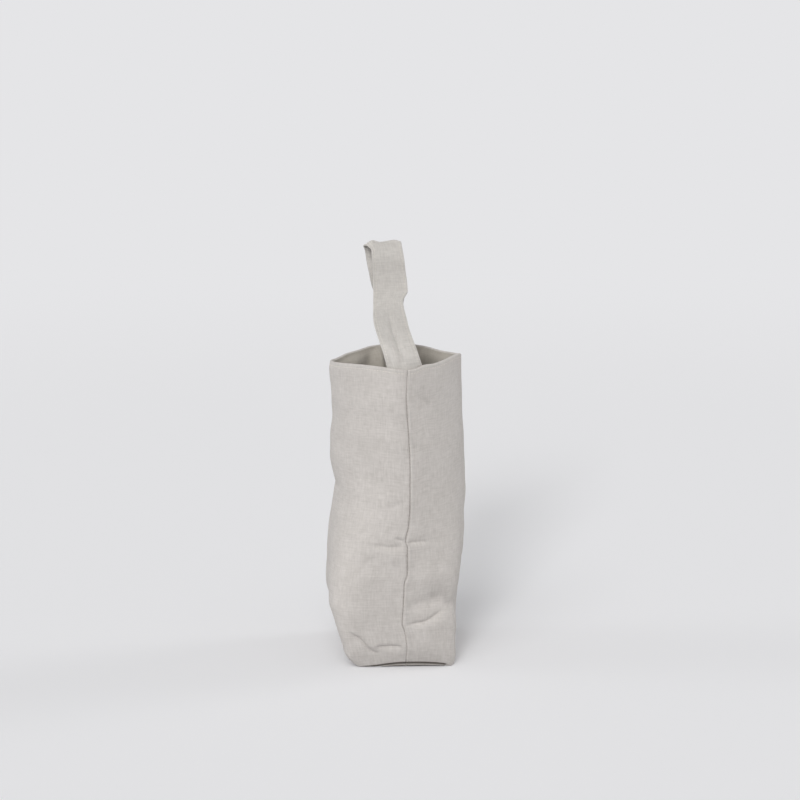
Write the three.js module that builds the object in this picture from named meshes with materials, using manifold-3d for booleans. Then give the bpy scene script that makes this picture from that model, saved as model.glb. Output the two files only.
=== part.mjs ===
// Lined linen tote bag with one wide strap handle that runs from side seam to side seam.
// Millimetres, +Z up. X runs from side seam to side seam, and the front panel faces -Y.
import * as THREE from "three";
import Module from "manifold-3d";
import { mergeVertices } from "three/addons/utils/BufferGeometryUtils.js";

const wasm = await Module();
wasm.setup();

// Body: depths are measured from the plane of the side seams
const bodyHeight = 300;
const baseWidth = 150;
const rimWidth = 200;
const sideFlare = 8.5; // how far each side opens out just above the base
const sideFlareHeight = 16;
const frontBaseDepth = 49.5;
const frontRimDepth = 72;
const frontOpeningHeight = 26;
const frontOpeningPower = 1;
const frontBelly = 5.2;
const frontBellyHeight = 78;
const frontBellyReach = 42;
const frontDent = 2;
const frontDentHeight = 175;
const frontDentReach = 30;
const backBaseDepth = 48;
const backRimDepth = 58.4;
const backOpeningHeight = 85; // the back stays upright lower down, and opens here
const backOpeningPower = 3;
const backBelly = 3.3;
const backBellyHeight = 165;
const backBellyReach = 55;
const baseChamfer = 2;

// Waves of the rim: their middles and reaches are shares of the way from the right seam to the left one
const frontRimSag = 6.5;
const frontRimSagAt = 0.6;
const frontRimSagReach = 0.2;
const backRimCrest = 5.5;
const backRimCrestAt = 0.3;
const backRimCrestReach = 0.13;
const backRimSag = 3.5;
const backRimSagAt = 0.74;
const backRimSagReach = 0.13;
const rimWaveFade = 4;

// Exponents of the outline: 2 is an ellipse, and high values come near to a rectangle.
// Towards the rim the panels meet at the side seams in a sharper corner than an ellipse has.
const baseSquareness = 14;
const rimSquareness = 2;
const squarenessFade = 4;
const rimSeamSquareness = 1.35;
const seamSquarenessFade = 5.5;
const seamBlunt = 0.15; // how round the corner at the side seams is, as a share of the depth

// Cloth, thread and the room between pieces
const outerCloth = 1.5;
const liningCloth = 0.8;
const thread = 0.6;
const clearance = 0.3;
const cornerRoomHeight = 40; // the lining stands clear of the corner seams up to here

// Strap: rises are measured from the rim, and leans are towards the front
const strapWidth = 37;
const strapThickness = 2.4;
const strapTuck = 25;
const strapRootLength = 45; // the stretch above the rim that bends when the handle swings
const strapRootLean = 1.5;
const strapRise = 113;
const rootStand = 8; // the strap leaves the rim upright for this height
const pinchRise = 66;
const pinchGap = 44;
const topGap = 26;
const legLean = 13.5;
const legLeanRise = 50;
const tipLean = 4.5;
const tipLeanRise = 28;
const strapSeatGap = 0.6; // from the outer cloth, which is faceted
const strapPocketEase = 1;
const strapPocketFade = 35; // the lining runs back to the outer cloth over this height
const strapPocketMargin = 6;
const strapPocketTaper = 0.35;

// Stitching
const topstitchDrop = 4;
const strapStitchMargin = 3;
const tackDrop = 12;
const tackMargin = 2;
const cornerSeamShare = 0.7; // how much of the gusset's foot the corner seam runs along
const seamEndGap = 3;

// Facets
const angleSteps = 48;
const seamCrowding = 0.25; // gathers the outline's points near the side seams
const levelSteps = 11;
const levelPower = 1.55; // gathers the levels near the base
const cornerSteps = 8;
const loopSteps = 28;
const rootSteps = 14;
const acrossSteps = 6;
const overshoot = 2;
const halvings = 40;

const seamSlot = thread + 2 * clearance;

function smooth(share) {
  return THREE.MathUtils.smoothstep(share, 0, 1);
}

// Half width at the side seams: it flares just above the base, then widens evenly to the rim
function sideReach(z) {
  const flared = baseWidth / 2 + sideFlare * (1 - Math.exp(-z / sideFlareHeight));
  return flared + ((rimWidth - baseWidth) / 2 - sideFlare) * (z / bodyHeight);
}

// Depth of a panel that opens from its base to its rim, most of the way by the opening height
function openedDepth(z, base, rim, openingHeight, openingPower) {
  return rim - (rim - base) * Math.exp(-((z / openingHeight) ** openingPower));
}

// 1 in the middle of a swell or a dent, and nearly 0 at twice its reach
function swell(offset, reach) {
  return Math.exp(-((offset / reach) ** 2));
}

function frontReach(z) {
  return (
    openedDepth(z, frontBaseDepth, frontRimDepth, frontOpeningHeight, frontOpeningPower) +
    frontBelly * swell(z - frontBellyHeight, frontBellyReach) -
    frontDent * swell(z - frontDentHeight, frontDentReach)
  );
}

function backReach(z) {
  return (
    openedDepth(z, backBaseDepth, backRimDepth, backOpeningHeight, backOpeningPower) +
    backBelly * swell(z - backBellyHeight, backBellyReach)
  );
}

// How far the waves of the rim lift a point; they die out downwards
function rimWave(angle, z) {
  const turn = angle / Math.PI;
  const share = turn < 1 ? turn : 2 - turn;
  const front = -frontRimSag * swell(share - frontRimSagAt, frontRimSagReach);
  const crest = backRimCrest * swell(share - backRimCrestAt, backRimCrestReach);
  const sag = backRimSag * swell(share - backRimSagAt, backRimSagReach);
  return (turn < 1 ? crest - sag : front) * (z / bodyHeight) ** rimWaveFade;
}

// How far the chamfer of the base edge pulls the outline in
function edgeCut(z) {
  return Math.max(0, baseChamfer - z);
}

function squareness(z, atRim, fade) {
  const below = Math.max(0, 1 - z / bodyHeight);
  return atRim + (baseSquareness - atRim) * below ** fade;
}

// A depth from 0 to 1, flattened near 0 so that the two panels meet in a blunt corner
function bluntDepth(depth) {
  return (Math.hypot(depth, seamBlunt) - seamBlunt) / (Math.hypot(1, seamBlunt) - seamBlunt);
}

// Distance to the outline of half width 1 and depth 1, by halving the interval
function outlineReach(c, s, z) {
  const n = squareness(z, rimSquareness, squarenessFade);
  const m = squareness(z, rimSeamSquareness, seamSquarenessFade);
  let low = 0;
  let high = 2;
  for (let i = 0; i < halvings; i++) {
    const reach = (low + high) / 2;
    const inside = Math.abs(reach * c) ** n + bluntDepth(reach * s) ** m < 1;
    low = inside ? reach : low;
    high = inside ? high : reach;
  }
  return low;
}

// A point of the wall at a height, as far inside the outer face as inset says
function wallPoint(angle, z, inset) {
  const c = Math.cos(angle);
  const s = Math.sin(angle);
  const reach = outlineReach(c, s, z);
  const depth = s < 0 ? frontReach(z) : backReach(z);
  const cut = edgeCut(z);
  return new THREE.Vector3(
    (sideReach(z) - inset - cut) * reach * c,
    (depth - inset - cut) * reach * s,
    z + rimWave(angle, z),
  );
}

// The wall's X at the side that faces +X
function wallX(y, z, inset) {
  const n = squareness(z, rimSquareness, squarenessFade);
  const m = squareness(z, rimSeamSquareness, seamSquarenessFade);
  const cut = edgeCut(z) + inset;
  const depth = (y < 0 ? frontReach(z) : backReach(z)) - cut;
  return (sideReach(z) - cut) * (1 - bluntDepth(y / depth) ** m) ** (1 / n);
}

function geometryOf(positions, triangles) {
  const geometry = new THREE.BufferGeometry();
  geometry.setAttribute("position", new THREE.Float32BufferAttribute(positions, 3));
  geometry.setIndex(triangles);
  return geometry;
}

function crowdedAngle(turn) {
  const angle = 2 * Math.PI * turn;
  return angle - seamCrowding * Math.sin(2 * angle);
}

// A closed solid through one outline at each level
function loft(levels, pointAt) {
  const positions = [];
  const triangles = [];
  const rows = levels.length;
  for (const z of levels) {
    for (let i = 0; i < angleSteps; i++) {
      positions.push(...pointAt(crowdedAngle(i / angleSteps), z));
    }
  }
  positions.push(0, 0, levels[0], 0, 0, levels[rows - 1]);
  const bottom = rows * angleSteps;
  const top = bottom + 1;
  const last = (rows - 1) * angleSteps;
  for (let i = 0; i < angleSteps; i++) {
    const next = (i + 1) % angleSteps;
    triangles.push(bottom, next, i, top, last + i, last + next);
    for (let row = 0; row < last; row += angleSteps) {
      const above = row + angleSteps;
      triangles.push(row + i, row + next, above + next, row + i, above + next, above + i);
    }
  }
  return geometryOf(positions, triangles);
}

// Volume of a closed mesh, negative where its faces point inwards
function signedVolume(positions, triangles) {
  const corner = (i) => new THREE.Vector3().fromArray(positions, 3 * triangles[i]);
  let volume = 0;
  for (let i = 0; i < triangles.length; i += 3) {
    volume += corner(i).dot(corner(i + 1).cross(corner(i + 2))) / 6;
  }
  return volume;
}

// A block whose two large faces follow pointAt(u, v, w) at w = 0 and w = 1; a ring closes along u
function warpedBlock(uSteps, vSteps, pointAt, ring = false) {
  const positions = [];
  const triangles = [];
  const uCount = ring ? uSteps : uSteps + 1;
  const layer = uCount * (vSteps + 1);
  const index = (u, v, w) => w * layer + v * uCount + (u % uCount);
  for (let w = 0; w <= 1; w++) {
    for (let v = 0; v <= vSteps; v++) {
      for (let u = 0; u < uCount; u++) {
        positions.push(...pointAt(u / uSteps, v / vSteps, w));
      }
    }
  }
  const quad = (a, b, c, d) => triangles.push(a, b, c, a, c, d);
  for (let u = 0; u < uSteps; u++) {
    for (let v = 0; v < vSteps; v++) {
      quad(index(u, v, 1), index(u + 1, v, 1), index(u + 1, v + 1, 1), index(u, v + 1, 1));
      quad(index(u, v, 0), index(u, v + 1, 0), index(u + 1, v + 1, 0), index(u + 1, v, 0));
    }
    quad(index(u, 0, 0), index(u + 1, 0, 0), index(u + 1, 0, 1), index(u, 0, 1));
    quad(index(u, vSteps, 0), index(u, vSteps, 1), index(u + 1, vSteps, 1), index(u + 1, vSteps, 0));
  }
  for (let v = 0; v < vSteps && !ring; v++) {
    quad(index(0, v, 0), index(0, v, 1), index(0, v + 1, 1), index(0, v + 1, 0));
    quad(index(uSteps, v, 0), index(uSteps, v + 1, 0), index(uSteps, v + 1, 1), index(uSteps, v, 1));
  }
  if (signedVolume(positions, triangles) < 0) {
    triangles.reverse();
  }
  return geometryOf(positions, triangles);
}

function solidOf(geometry) {
  const bare = geometry.clone();
  bare.deleteAttribute("normal");
  bare.deleteAttribute("uv");
  const merged = mergeVertices(bare);
  const vertProperties = new Float32Array(merged.attributes.position.array);
  const triVerts = new Uint32Array(merged.index.array);
  return new wasm.Manifold(new wasm.Mesh({ numProp: 3, vertProperties, triVerts }));
}

function geometryFrom(solid) {
  const mesh = solid.getMesh();
  return geometryOf(Array.from(mesh.vertProperties), Array.from(mesh.triVerts));
}

function levelsBetween(low, high) {
  const levels = [low];
  if (low < baseChamfer) {
    levels.push(baseChamfer);
  }
  for (let i = 1; i <= levelSteps; i++) {
    const z = bodyHeight * (i / levelSteps) ** levelPower;
    if (z > levels[levels.length - 1] + baseChamfer && z < high - baseChamfer) {
      levels.push(z);
    }
  }
  levels.push(high);
  return levels;
}

// A block that covers everything on one side of the seam plane, up to the edge of the slot
function halfSpace(side) {
  const reach = 4 * bodyHeight;
  const box = new THREE.BoxGeometry(reach, reach, reach);
  box.translate(0, side * (reach / 2 - seamSlot / 2), 0);
  return solidOf(box);
}

// Outer shell: two panels with the seam slot between them and a groove for the topstitch
const outerSolid = solidOf(loft(levelsBetween(0, bodyHeight), (angle, z) => wallPoint(angle, z, 0)));
const outerHollow = solidOf(
  loft(levelsBetween(outerCloth, bodyHeight + overshoot), (angle, z) => wallPoint(angle, z, outerCloth)),
);

function rimRing(spread) {
  const z = bodyHeight - topstitchDrop;
  return warpedBlock(
    angleSteps,
    1,
    (u, v, w) => {
      const height = z + (v - 0.5) * (thread + 2 * spread);
      const inset = -spread + w * (thread + 2 * spread);
      return wallPoint(crowdedAngle(u), height, inset);
    },
    true,
  );
}

const outerShell = outerSolid.subtract(outerHollow).subtract(solidOf(rimRing(clearance)));

// Lining: close to the outer shell, but clear of the corner seams below and the strap ends above
const liningFloor = outerCloth + clearance;
const liningCornerRoom = thread + clearance;
const strapPocket = strapSeatGap + strapThickness + strapPocketEase - clearance;
const strapPocketFloor = bodyHeight - strapTuck - seamEndGap;

function liningInset(z) {
  return outerCloth + clearance + liningCornerRoom * (1 - smooth(z / cornerRoomHeight));
}

function pocketDepth(z) {
  return strapPocket * smooth((z - strapPocketFloor) / strapPocketFade + 1);
}

// 1 behind the strap ends, fading to 0 along the front and the back
function besideSeam(angle) {
  const strapEdge = (strapWidth / 2 + strapPocketMargin) / backRimDepth;
  return 1 - smooth((Math.abs(Math.sin(angle)) - strapEdge) / strapPocketTaper);
}

function liningPoint(angle, z, depth) {
  return wallPoint(angle, z, liningInset(z) + pocketDepth(z) * besideSeam(angle) + depth);
}

function liningLevels(low, high) {
  const fadeFloor = strapPocketFloor - strapPocketFade;
  const below = levelsBetween(low, high).filter((z) => z < fadeFloor);
  return [...below, fadeFloor, fadeFloor + strapPocketFade / 2, strapPocketFloor, high];
}

const liningSolid = solidOf(
  loft(liningLevels(liningFloor, bodyHeight), (angle, z) => liningPoint(angle, z, 0)),
);
const liningHollow = solidOf(
  loft(liningLevels(liningFloor + liningCloth, bodyHeight + overshoot), (angle, z) =>
    liningPoint(angle, z, liningCloth),
  ),
);
const liningShell = liningSolid.subtract(liningHollow);

// Seam threads in the slot between the panels
function sideSeam(side, levels, insetAt) {
  const steps = levels.length - 1;
  return warpedBlock(steps, 1, (u, v, w) => {
    const z = levels[Math.round(u * steps)];
    const x = sideReach(z) - edgeCut(z) - insetAt(z) + (w - 0.5) * thread;
    return new THREE.Vector3(side * x, (v - 0.5) * thread, z);
  });
}

function baseSeam(halfLength, z) {
  const geometry = new THREE.BoxGeometry(2 * halfLength, thread, thread);
  geometry.translate(0, 0, z);
  return geometry;
}

// Corner seams: where the gusset meets the base, on the inside of the cloth
function cornerSeam(side, floor, insetAt) {
  return warpedBlock(cornerSteps, 1, (u, v, w) => {
    const z = floor + clearance + v * thread;
    const inset = insetAt(z) + clearance + w * thread;
    const front = frontReach(z) - inset;
    const back = backReach(z) - inset;
    const y = cornerSeamShare * (u * (front + back) - front);
    return new THREE.Vector3(side * wallX(y, z, inset), y, z);
  });
}

const outerSeamInset = () => outerCloth / 2;
const liningSeamInset = (z) => liningInset(z) + pocketDepth(z) + liningCloth / 2;
const liningTop = liningFloor + liningCloth;

// Strap: one band through both rims, described by the distance u along it from the rim at +X
const strapInset = outerCloth + strapSeatGap + strapThickness / 2;
const strapRootX = wallX(-strapRootLean, bodyHeight, strapInset);
const legMiddleX = (strapRootX + pinchGap / 2) / 2;
const legPoints = [
  new THREE.Vector3(strapRootX, 0, 0),
  new THREE.Vector3(strapRootX, 0, rootStand),
  new THREE.Vector3(legMiddleX, 0, (rootStand + pinchRise) / 2),
  new THREE.Vector3(pinchGap / 2, 0, pinchRise),
  new THREE.Vector3(topGap / 2, 0, strapRise - topGap / 2),
];
const mirroredPoints = legPoints.map((p) => new THREE.Vector3(-p.x, 0, p.z)).reverse();
const strapCurve = new THREE.CatmullRomCurve3([
  ...legPoints,
  new THREE.Vector3(0, 0, strapRise),
  ...mirroredPoints,
]);
const strapFree = strapCurve.getLength();

function strapLean(rise) {
  const tip = smooth((rise - strapRise + tipLeanRise) / tipLeanRise);
  return strapRootLean + legLean * smooth(rise / legLeanRise) + tipLean * tip;
}

// A point of the strap: across is measured over its width, out over its thickness
function strapPoint(u, across, out) {
  const side = u < strapFree / 2 ? 1 : -1;
  const fromRim = side > 0 ? u : strapFree - u;
  const rootY = across - strapRootLean;
  if (fromRim < 0) {
    const z = bodyHeight + fromRim;
    return new THREE.Vector3(side * wallX(rootY, z, strapInset - out), rootY, z);
  }
  const middle = strapCurve.getPointAt(u / strapFree);
  const along = strapCurve.getTangentAt(u / strapFree);
  const dish = wallX(rootY, bodyHeight, strapInset) - strapRootX;
  const flattening = smooth(fromRim / strapRootLength);
  return new THREE.Vector3(
    middle.x + along.z * out + side * dish * (1 - flattening),
    across - strapLean(middle.z),
    bodyHeight + middle.z - along.x * out,
  );
}

function strapBlock(uRange, acrossRange, outRange, uSteps, vSteps) {
  const lerp = THREE.MathUtils.lerp;
  return warpedBlock(uSteps, vSteps, (u, v, w) =>
    strapPoint(lerp(...uRange, u), lerp(...acrossRange, v), lerp(...outRange, w)),
  );
}

const strapHalf = strapWidth / 2;
const strapSkin = strapThickness / 2;
const strapFaces = [-strapSkin, strapSkin];
const loopRange = [strapRootLength + clearance / 2, strapFree - strapRootLength - clearance / 2];

// A thread in the outer face of the strap, or its groove where spread is the clearance
function strapStitch(side, spread) {
  const middle = side * (strapHalf - strapStitchMargin);
  const half = thread / 2 + spread;
  return strapBlock(
    [loopRange[0] - spread, loopRange[1] + spread],
    [middle - half, middle + half],
    [strapSkin - thread - spread, strapSkin + spread],
    loopSteps,
    1,
  );
}

function strapTack(side, spread) {
  const middle = side > 0 ? -tackDrop : strapFree + tackDrop;
  const half = thread / 2 + spread;
  const reach = strapHalf - tackMargin + spread;
  return strapBlock(
    [middle - half, middle + half],
    [-reach, reach],
    [strapSkin - thread - spread, strapSkin + spread],
    1,
    acrossSteps,
  );
}

const loopBand = strapBlock(loopRange, [-strapHalf, strapHalf], strapFaces, loopSteps, 2);
const strapLoop = solidOf(loopBand)
  .subtract(solidOf(strapStitch(-1, clearance)))
  .subtract(solidOf(strapStitch(1, clearance)));

function strapRoot(side) {
  const rightRange = [-strapTuck, strapRootLength - clearance / 2];
  const range = side > 0 ? rightRange : rightRange.map((u) => strapFree - u);
  const band = strapBlock(range, [-strapHalf, strapHalf], strapFaces, rootSteps, acrossSteps);
  return solidOf(band).subtract(solidOf(strapTack(side, clearance)));
}

// Assembly
const linen = { color: 0xc6c0b9, roughness: 0.95, metalness: 0 };
const liningLinen = { color: 0xb8b1a6, roughness: 0.95, metalness: 0 };
const sewingThread = { color: 0xcdc7be, roughness: 0.8, metalness: 0 };

const bag = new THREE.Group();
bag.position.y = (Math.max(...levelsBetween(0, bodyHeight).map(frontReach)) -
  Math.max(...levelsBetween(0, bodyHeight).map(backReach))) / 2;

function addPiece(name, geometry, finish) {
  const mesh = new THREE.Mesh(geometry, new THREE.MeshStandardMaterial(finish));
  mesh.name = name;
  bag.add(mesh);
}

addPiece("outer_front_panel", geometryFrom(outerShell.subtract(halfSpace(1))), linen);
addPiece("outer_back_panel", geometryFrom(outerShell.subtract(halfSpace(-1))), linen);
addPiece("lining_front_panel", geometryFrom(liningShell.subtract(halfSpace(1))), liningLinen);
addPiece("lining_back_panel", geometryFrom(liningShell.subtract(halfSpace(-1))), liningLinen);
addPiece("handle_strap", geometryFrom(strapLoop), linen);
addPiece("handle_edge_stitch_front", strapStitch(-1, 0), sewingThread);
addPiece("handle_edge_stitch_back", strapStitch(1, 0), sewingThread);
addPiece("rim_topstitch", rimRing(0), sewingThread);
addPiece("base_seam_thread", baseSeam(baseWidth / 2 - seamEndGap, outerCloth / 2), sewingThread);
addPiece(
  "lining_base_seam_thread",
  baseSeam(baseWidth / 2 - liningInset(liningFloor) - seamEndGap, liningFloor + liningCloth / 2),
  sewingThread,
);

const seamLevels = levelsBetween(outerCloth + thread, bodyHeight - topstitchDrop - thread - clearance);
const liningSeamLevels = liningLevels(liningTop + thread, bodyHeight - thread);
for (const [hand, side] of [["right", 1], ["left", -1]]) {
  addPiece(`handle_root_${hand}`, geometryFrom(strapRoot(side)), linen);
  addPiece(`handle_tack_${hand}`, strapTack(side, 0), sewingThread);
  addPiece(`side_seam_thread_${hand}`, sideSeam(side, seamLevels, outerSeamInset), sewingThread);
  addPiece(
    `lining_side_seam_thread_${hand}`,
    sideSeam(side, liningSeamLevels, liningSeamInset),
    sewingThread,
  );
  addPiece(`corner_seam_thread_${hand}`, cornerSeam(side, outerCloth, () => outerCloth), sewingThread);
  addPiece(
    `lining_corner_seam_thread_${hand}`,
    cornerSeam(side, liningTop, (z) => liningInset(z) + liningCloth),
    sewingThread,
  );
}

export default bag;
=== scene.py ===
import math
import bpy
import numpy as np
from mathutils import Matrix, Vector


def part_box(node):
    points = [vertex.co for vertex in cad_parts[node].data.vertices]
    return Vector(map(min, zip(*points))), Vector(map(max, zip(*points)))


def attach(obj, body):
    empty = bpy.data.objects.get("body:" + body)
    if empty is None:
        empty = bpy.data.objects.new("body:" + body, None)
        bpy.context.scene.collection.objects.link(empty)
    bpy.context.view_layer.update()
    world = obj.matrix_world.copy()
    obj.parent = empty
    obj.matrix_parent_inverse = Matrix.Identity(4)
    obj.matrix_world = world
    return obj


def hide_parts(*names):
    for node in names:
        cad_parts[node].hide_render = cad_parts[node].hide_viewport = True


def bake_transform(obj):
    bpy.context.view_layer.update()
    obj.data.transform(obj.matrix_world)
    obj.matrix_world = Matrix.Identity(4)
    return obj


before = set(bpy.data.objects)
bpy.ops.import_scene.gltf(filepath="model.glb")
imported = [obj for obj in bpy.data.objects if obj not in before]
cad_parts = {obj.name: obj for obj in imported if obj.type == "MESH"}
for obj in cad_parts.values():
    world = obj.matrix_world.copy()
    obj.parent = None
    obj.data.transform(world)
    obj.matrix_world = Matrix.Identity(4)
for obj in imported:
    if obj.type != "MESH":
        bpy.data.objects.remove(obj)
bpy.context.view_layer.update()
scene = bpy.context.scene

# Shapes are worked out in millimetres, with y = 0 in the plane of the side seams and the front at -y.
# The seam that faces the camera is at +x.
mm = 0.001
seamLow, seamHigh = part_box("base_seam_thread")
seamY = (seamLow.y + seamHigh.y) / 2
print("frame loaded, side seams at y =", round(seamY, 5))


def toFrame(points):
    placed = np.array(points, float) * mm
    placed[..., 1] += seamY
    return placed


def smooth(share):
    share = np.clip(share, 0, 1)
    return share * share * (3 - 2 * share)


def hump(distance, width):
    return np.exp(-(distance / width) ** 2)


def through(keys, at):  # a smooth curve through (place, value) pairs
    keys = np.array(keys, float)
    place, value = keys[:, 0], keys[:, 1]
    slope = np.gradient(value, place)
    at = np.clip(at, place[0], place[-1])
    i = np.clip(np.searchsorted(place, at) - 1, 0, len(place) - 2)
    gap = place[i + 1] - place[i]
    t = (at - place[i]) / gap
    bend = slope[i] * (1 - t) - slope[i + 1] * t
    rise = value[i + 1] - value[i]
    lean = (1 - 2 * t) * rise
    return value[i] + t * rise + t * (1 - t) * (bend * gap - lean)


def straight(keys, at):  # straight runs through (place, value) pairs
    return np.interp(at, *np.array(keys, float).T)


rippleSet = {"waves": 18, "sizes": (0.7, 1.6), "level": 6}


def ripple(u, v, size, seed, stretch=1.0):  # soft random waves of about that size, mostly from -1 to 1
    draw = np.random.default_rng(seed)
    total = np.zeros(np.broadcast(u, v).shape)
    for _ in range(rippleSet["waves"]):
        turn, phase = draw.uniform(0, 2 * math.pi, 2)
        wave = 2 * math.pi / (size * draw.uniform(*rippleSet["sizes"]))
        total += np.sin(wave * (u * math.cos(turn) + v * math.sin(turn) / stretch) + phase)
    return total / rippleSet["level"]


# Camera
cameraSet = {"distance": 2200, "height": 586, "towardsFront": 2.7, "turn": 87.364, "pitch": 8.58,
             "focal": 2226, "pixels": 800, "sensor": 36}


def placeCamera(c):
    bpy.ops.object.select_all(action="DESELECT")
    bpy.ops.object.camera_add()
    cam = bpy.context.object
    side = math.radians(c["towardsFront"])
    spot = (c["distance"] * math.cos(side), -c["distance"] * math.sin(side), c["height"])
    cam.location = toFrame(spot)
    cam.rotation_euler = (math.radians(90 - c["pitch"]), 0, math.radians(c["turn"]))
    cam.data.sensor_width = c["sensor"]
    cam.data.lens = c["sensor"] * c["focal"] / c["pixels"]
    scene.camera = cam


placeCamera(cameraSet)
print("camera placed")

# Shape of the bag's outer face. Reach, depths and wanders are (height, value), the rim is (share of the
# panel, height) and the base's lift (y, value). Shares run from the seam that faces the camera to the other.
bagShape = {
    "height": 300, "reach": [(0, 75), (6, 77.2), (16, 80.6), (34, 84), (60, 86.4), (110, 89.8), (170, 93.6),
                             (235, 97.4), (300, 100)],
    "depth": {
        -1: [(0, 49.5), (3, 53), (7, 57), (12, 60), (21, 62.6), (37, 68.6), (51, 72.2), (60, 74.9),
             (79, 76.2), (94, 75.4), (119, 74.6), (146, 72.4), (162, 69.8), (186, 70.4), (205, 71.5),
             (220, 71.3), (243, 70.2), (268, 70.6), (284, 72.4), (293, 73), (300, 72)],
        1: [(0, 48), (4, 49), (21, 49.4), (35, 50.2), (49, 49.8), (58, 50.6), (68, 52.4), (80, 55),
            (97, 57.4), (113, 59.4), (134, 60.9), (150, 61.6), (173, 61.8), (203, 60.6), (240, 59.4),
            (300, 58.4)],
    },
    "rim": {
        -1: [(0, 298), (0.046, 298.8), (0.084, 299.7), (0.175, 300.2), (0.26, 299.2), (0.36, 297.2),
             (0.5, 294.6), (0.66, 292.5), (0.72, 294), (0.81, 295.5), (0.88, 298), (0.95, 298.4),
             (1, 298.3)],
        1: [(0, 298), (0.03, 298.8), (0.067, 301.6), (0.13, 302.1), (0.2, 303.6), (0.29, 305.6),
            (0.38, 304.6), (0.5, 300.6), (0.65, 297.2), (0.77, 296.2), (0.87, 298), (0.95, 298.6),
            (1, 298.3)],
    },
    "baseSquare": 14, "rimSquare": 2, "squareFade": 4, "seamSquare": 1.35, "seamFade": 5.5,
    "nearWander": [(0, 0), (6, 0), (18, 0.8), (34, -0.8), (45, -4.2), (62, -3.3), (87, -2.3), (96.5, 0.6),
                   (118, 0.6), (125, 0.5), (129, -1.4), (134.5, -0.6), (143, 1.5), (160, 3), (205, 3),
                   (235, 1.5), (255, 0), (275, -1), (300, 0)],
    "farWander": [(0, 0), (20, 1), (48, 3), (75, 1), (110, -1.5), (150, -3), (190, -1), (230, 1.5),
                  (270, 1), (300, 0)],
    "wanderReach": 35, "seamBlunt": 0.15, "seamReach": 3, "seamHold": 0.25,
    "baseLift": [(-50, 0), (-47, 0.5), (-42, 1), (-36, 1.5), (-29.5, 2.1), (-19, 3.6), (-10, 4.5),
                 (-3, 4.9), (5, 5), (14, 4.9), (24, 4.5), (33, 3.8), (40, 2.6), (44, 1.4), (48, 0)],
    "liftReach": 8, "liftPower": 1.4, "liftFade": 45, "apartAt": 1.6, "bulgeAt": 1.2, "foldRadius": 1.6,
    "gussetRadius": 0.7, "cornerFrom": 9, "cornerSoft": 7, "rimFade": 285, "girth": 258,
}
bagHeight = bagShape["height"]


def sideReach(h):
    return through(bagShape["reach"], h)


def roundings(h):  # powers of the outline's curve at a height: along the panel, and towards the seams
    below = np.clip(1 - h / bagHeight, 0, 1)
    base, rim, seam = bagShape["baseSquare"], bagShape["rimSquare"], bagShape["seamSquare"]
    along = rim + (base - rim) * below ** bagShape["squareFade"]
    return along, seam + (base - seam) * below ** bagShape["seamFade"]


def outline(h, side, inset, shares):  # points of one panel at a height, spread evenly by length
    n, m = roundings(h)
    blunt = bagShape["seamBlunt"]
    turn = np.linspace(0, math.pi, 721)
    c, s = np.cos(turn), np.sin(turn)
    s[[0, -1]] = 0
    x = np.sign(c) * np.abs(c) ** (2 / n)
    y = np.sqrt((s ** (2 / m) * (math.hypot(1, blunt) - blunt) + blunt) ** 2 - blunt ** 2)
    x = x * (sideReach(h) - inset)
    y = y * side * (through(bagShape["depth"][side], h) - inset)
    run = np.concatenate([[0], np.cumsum(np.hypot(np.diff(x), np.diff(y)))])
    at = shares * run[-1]
    return np.interp(at, run, x), np.interp(at, run, y), run[-1]


def wallX(y, h, inset):  # the outer face's x on the side of the camera, less the inset
    n, m = roundings(h)
    blunt = bagShape["seamBlunt"]
    depth = np.where(y < 0, through(bagShape["depth"][-1], h), through(bagShape["depth"][1], h)) - inset
    part = (np.hypot(y / depth, blunt) - blunt) / (math.hypot(1, blunt) - blunt)
    return (sideReach(h) - inset) * (1 - np.clip(part, 0, 1) ** m) ** (1 / n)


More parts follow.
